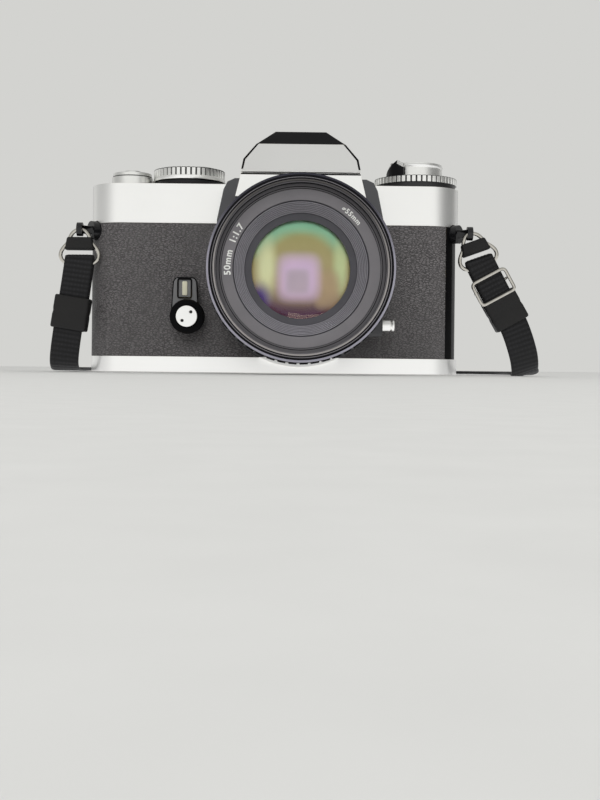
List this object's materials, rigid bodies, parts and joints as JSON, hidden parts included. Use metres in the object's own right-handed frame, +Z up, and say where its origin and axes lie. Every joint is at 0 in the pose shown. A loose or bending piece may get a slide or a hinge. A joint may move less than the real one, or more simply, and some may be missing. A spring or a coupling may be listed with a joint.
{
  "type": "single-lens reflex camera",
  "caption": "Compact 35 mm single-lens reflex camera in chrome and black leather with a standard lens, top dials, hinged back and webbing neck strap.",
  "frame": {"origin": "mouth of the tripod socket, on the base plane under the lens axis", "axes": "+Z up, -Y the way the lens looks, +X towards the rewind knob"},
  "size_m": [0.1819, 0.2462, 0.0897],
  "materials": {
    "satin_chrome": "satin chrome on brass",
    "black_paint": "black enamel",
    "black_anodised": "black anodised",
    "alloy": "black coated die cast alloy",
    "bright_steel": "turned steel",
    "leatherette": "fine grain leatherette",
    "black_plastic": "moulded",
    "grip_rubber": "waffle rubber",
    "grey_ring": "grey anodised",
    "glass": "coated optical glass",
    "mirror": "front silvered",
    "webbing": "woven nylon webbing"
  },
  "bodies": {
    "body": {"body_casting": "alloy", "top_cover": "satin_chrome", "prism_cap": "alloy", "hot_shoe": "satin_chrome", "base_plate": "satin_chrome", "base_screws": "bright_steel", "tripod_bush": "bright_steel", "front_leather": "leatherette", "mount_housing": "alloy", "body_bayonet": "bright_steel", "mount_screws": "bright_steel", "mirror_box": "black_plastic", "focusing_screen": "glass", "pentaprism": "glass", "eyepiece_frame": "black_plastic", "eyepiece_lens": "glass", "shutter_frame": "black_anodised", "strap_lugs": "black_paint", "hinge_pin": "bright_steel", "strap_rings": "bright_steel", "strap_webbing": "webbing", "strap_keepers": "black_plastic"},
    "door": {"back_door": "black_paint", "door_leather": "leatherette", "pressure_plate": "black_plastic"},
    "release": {"release_button": "satin_chrome"},
    "speed_dial": {"shutter_dial": "satin_chrome"},
    "mode": {"mode_lever": "black_plastic"},
    "advance": {"advance_lever": "satin_chrome"},
    "film_dial": {"exposure_dial": "satin_chrome"},
    "rewind_lift": {"rewind_sleeve": "bright_steel"},
    "rewind": {"rewind_knob": "satin_chrome"},
    "crank": {"rewind_crank": "satin_chrome", "crank_knob": "black_plastic"},
    "timer": {"self_timer_lever": "black_paint", "self_timer_cap": "satin_chrome"},
    "lens_lock": {"lens_release": "satin_chrome"},
    "battery": {"battery_cover": "bright_steel"},
    "rewind_clutch": {"rewind_button": "bright_steel"},
    "mirror": {"reflex_mirror": "mirror"},
    "slat_1": {"shutter_blade_1": "bright_steel"},
    "slat_2": {"shutter_blade_2": "bright_steel"},
    "slat_3": {"shutter_blade_3": "bright_steel"},
    "spool": {"takeup_spool": "black_plastic"},
    "sprocket": {"film_sprocket": "bright_steel"},
    "lens": {"lens_barrel": "black_anodised", "lens_bayonet": "bright_steel"},
    "aperture": {"aperture_ring": "black_anodised"},
    "focus_block": {"optical_barrel": "black_anodised", "name_ring": "grey_ring", "front_element": "glass", "rear_element": "glass"},
    "focus": {"focus_ring": "black_anodised", "focus_grip": "grip_rubber"},
    "iris_1": {"iris_blade_1": "bright_steel"},
    "iris_2": {"iris_blade_2": "bright_steel"},
    "iris_3": {"iris_blade_3": "bright_steel"},
    "iris_4": {"iris_blade_4": "bright_steel"},
    "iris_5": {"iris_blade_5": "bright_steel"},
    "iris_6": {"iris_blade_6": "bright_steel"}
  },
  "joints": [
    {"name": "door_hinge", "type": "hinge", "parent": "body", "child": "door", "pos_m": [-0.074, 0.0135, 0.03], "axis": [0, 0, 1], "range_deg": [0, 95]},
    {"name": "release_press", "type": "slide", "parent": "body", "child": "release", "axis": [0, 0, -1], "range_m": [0, 0.0016], "stiffness_N_per_m": 300},
    {"name": "speed_dial_turn", "type": "hinge", "parent": "body", "child": "speed_dial", "pos_m": [-0.0414, -0.002, 0.072], "axis": [0, 0, 1], "range_deg": [-150, 150]},
    {"name": "mode_turn", "type": "hinge", "parent": "body", "child": "mode", "pos_m": [-0.0414, -0.002, 0.069], "axis": [0, 0, 1], "range_deg": [-25, 25]},
    {"name": "advance_stroke", "type": "hinge", "parent": "body", "child": "advance", "pos_m": [-0.063, 0, 0.07], "axis": [0, 0, 1], "range_deg": [0, 130]},
    {"name": "film_dial_turn", "type": "hinge", "parent": "body", "child": "film_dial", "pos_m": [0.0435, 0, 0.07], "axis": [0, 0, 1], "range_deg": [-120, 120]},
    {"name": "rewind_pull", "type": "slide", "parent": "body", "child": "rewind_lift", "axis": [0, 0, 1], "range_m": [0, 0.007]},
    {"name": "rewind_turn", "type": "hinge", "parent": "rewind_lift", "child": "rewind", "pos_m": [0.0435, 0, 0.075], "axis": [0, 0, 1], "continuous": true},
    {"name": "crank_fold", "type": "hinge", "parent": "rewind", "child": "crank", "pos_m": [0.0485, 0, 0.0776], "axis": [0, 1, 0], "range_deg": [0, 170]},
    {"name": "timer_set", "type": "hinge", "parent": "body", "child": "timer", "pos_m": [-0.0403, -0.018, 0.02], "axis": [0, -1, 0], "range_deg": [0, 90]},
    {"name": "lens_lock_press", "type": "slide", "parent": "body", "child": "lens_lock", "axis": [-1, 0, 0], "range_m": [0, 0.0016], "stiffness_N_per_m": 300},
    {"name": "battery_cap_turn", "type": "hinge", "parent": "body", "child": "battery", "pos_m": [-0.026, -0.004, 0.002], "axis": [0, 0, -1], "range_deg": [0, 90]},
    {"name": "clutch_press", "type": "slide", "parent": "body", "child": "rewind_clutch", "axis": [0, 0, 1], "range_m": [0, 0.0015], "stiffness_N_per_m": 300},
    {"name": "mirror_swing", "type": "hinge", "parent": "body", "child": "mirror", "pos_m": [0, 0.0012, 0.0478], "axis": [-1, 0, 0], "range_deg": [0, 44]},
    {"name": "slat_1_drop", "type": "slide", "parent": "body", "child": "slat_1", "axis": [0, 0, -1], "range_m": [0, 0.025]},
    {"name": "slat_2_drop", "type": "slide", "parent": "body", "child": "slat_2", "axis": [0, 0, -1], "range_m": [0, 0.017]},
    {"name": "slat_3_drop", "type": "slide", "parent": "body", "child": "slat_3", "axis": [0, 0, -1], "range_m": [0, 0.009]},
    {"name": "spool_turn", "type": "hinge", "parent": "body", "child": "spool", "pos_m": [-0.063, 0, 0.03], "axis": [0, 0, 1], "range_deg": [0, 315]},
    {"name": "sprocket_turn", "type": "hinge", "parent": "body", "child": "sprocket", "pos_m": [-0.04, 0.0036, 0.03], "axis": [0, 0, 1], "range_deg": [0, 360]},
    {"name": "lens_twist", "type": "hinge", "parent": "body", "child": "lens", "pos_m": [0, -0.04, 0.0336], "axis": [0, -1, 0], "range_deg": [0, 54]},
    {"name": "focus_travel", "type": "slide", "parent": "lens", "child": "focus_block", "axis": [0, -1, 0], "range_m": [0, 0.0065]},
    {"name": "focus_turn", "type": "hinge", "parent": "focus_block", "child": "focus", "pos_m": [0, -0.055, 0.0336], "axis": [0, -1, 0], "range_deg": [0, 200]},
    {"name": "aperture_turn", "type": "hinge", "parent": "lens", "child": "aperture", "pos_m": [0, -0.039, 0.0336], "axis": [0, -1, 0], "range_deg": [0, 60]},
    {"name": "iris_1_swing", "type": "hinge", "parent": "focus_block", "child": "iris_1", "pos_m": [0.0195, -0.048, 0.0336], "axis": [0, -1, 0], "range_deg": [0, 32]},
    {"name": "iris_2_swing", "type": "hinge", "parent": "focus_block", "child": "iris_2", "pos_m": [0.00975, -0.048, 0.05049], "axis": [0, -1, 0], "range_deg": [0, 32]},
    {"name": "iris_3_swing", "type": "hinge", "parent": "focus_block", "child": "iris_3", "pos_m": [-0.00975, -0.048, 0.05049], "axis": [0, -1, 0], "range_deg": [0, 32]},
    {"name": "iris_4_swing", "type": "hinge", "parent": "focus_block", "child": "iris_4", "pos_m": [-0.0195, -0.048, 0.0336], "axis": [0, -1, 0], "range_deg": [0, 32]},
    {"name": "iris_5_swing", "type": "hinge", "parent": "focus_block", "child": "iris_5", "pos_m": [-0.00975, -0.048, 0.01671], "axis": [0, -1, 0], "range_deg": [0, 32]},
    {"name": "iris_6_swing", "type": "hinge", "parent": "focus_block", "child": "iris_6", "pos_m": [0.00975, -0.048, 0.01671], "axis": [0, -1, 0], "range_deg": [0, 32]}
  ],
  "couplings": [
    {"joint": "spool_turn", "follows": "advance_stroke", "ratio": 2.4},
    {"joint": "sprocket_turn", "follows": "advance_stroke", "ratio": 2.75},
    {"joint": "slat_2_drop", "follows": "slat_1_drop", "ratio": 0.68},
    {"joint": "slat_3_drop", "follows": "slat_1_drop", "ratio": 0.36},
    {"joint": "focus_turn", "follows": "focus_travel", "rad_per_m": 537},
    {"joint": "iris_1_swing", "follows": "aperture_turn", "ratio": 0.53},
    {"joint": "iris_2_swing", "follows": "aperture_turn", "ratio": 0.53},
    {"joint": "iris_3_swing", "follows": "aperture_turn", "ratio": 0.53},
    {"joint": "iris_4_swing", "follows": "aperture_turn", "ratio": 0.53},
    {"joint": "iris_5_swing", "follows": "aperture_turn", "ratio": 0.53},
    {"joint": "iris_6_swing", "follows": "aperture_turn", "ratio": 0.53}
  ]
}
